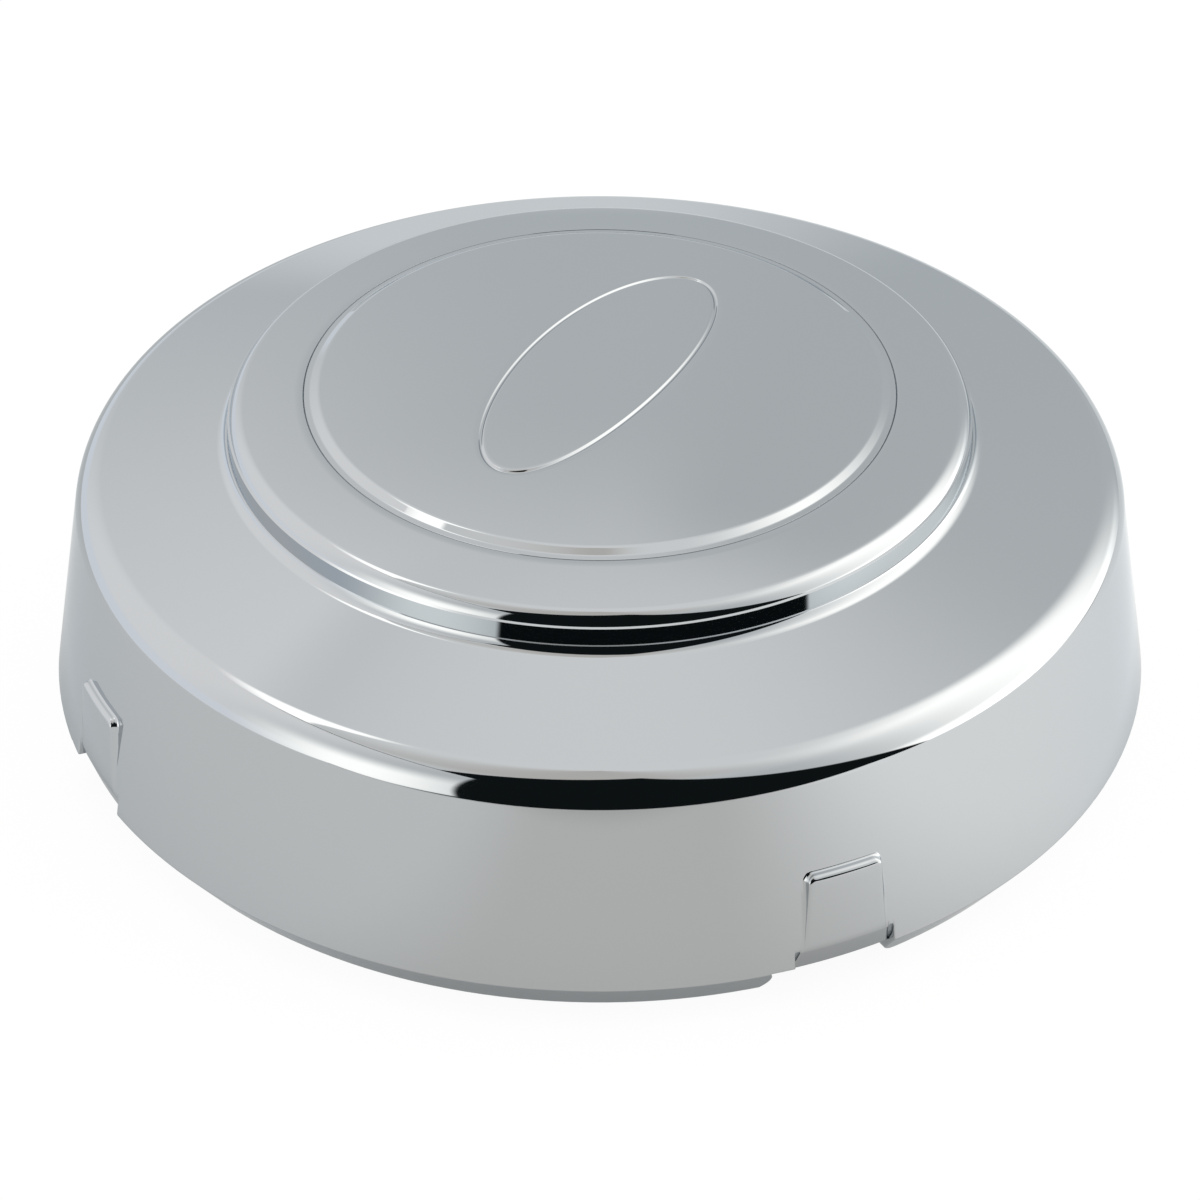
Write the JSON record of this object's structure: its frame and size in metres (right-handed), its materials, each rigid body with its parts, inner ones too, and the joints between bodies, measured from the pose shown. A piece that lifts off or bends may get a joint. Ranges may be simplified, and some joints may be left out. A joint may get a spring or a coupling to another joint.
{
  "type": "wheel center cap",
  "caption": "Round chrome-plated center cap with a stepped, crowned top, a sloped outer band and an open skirt with snap tabs, to close the hub opening of a wheel.",
  "frame": {"origin": "on the axis of the cap, in the plane of the rim that it stands on", "axes": "+Z along the axis towards the crown, -Y towards the viewer of the picture"},
  "size_m": [0.195, 0.195, 0.068],
  "materials": {
    "chrome_plating": "mirror plated"
  },
  "bodies": {
    "root": {"center_cap": "chrome_plating"}
  },
  "joints": []
}
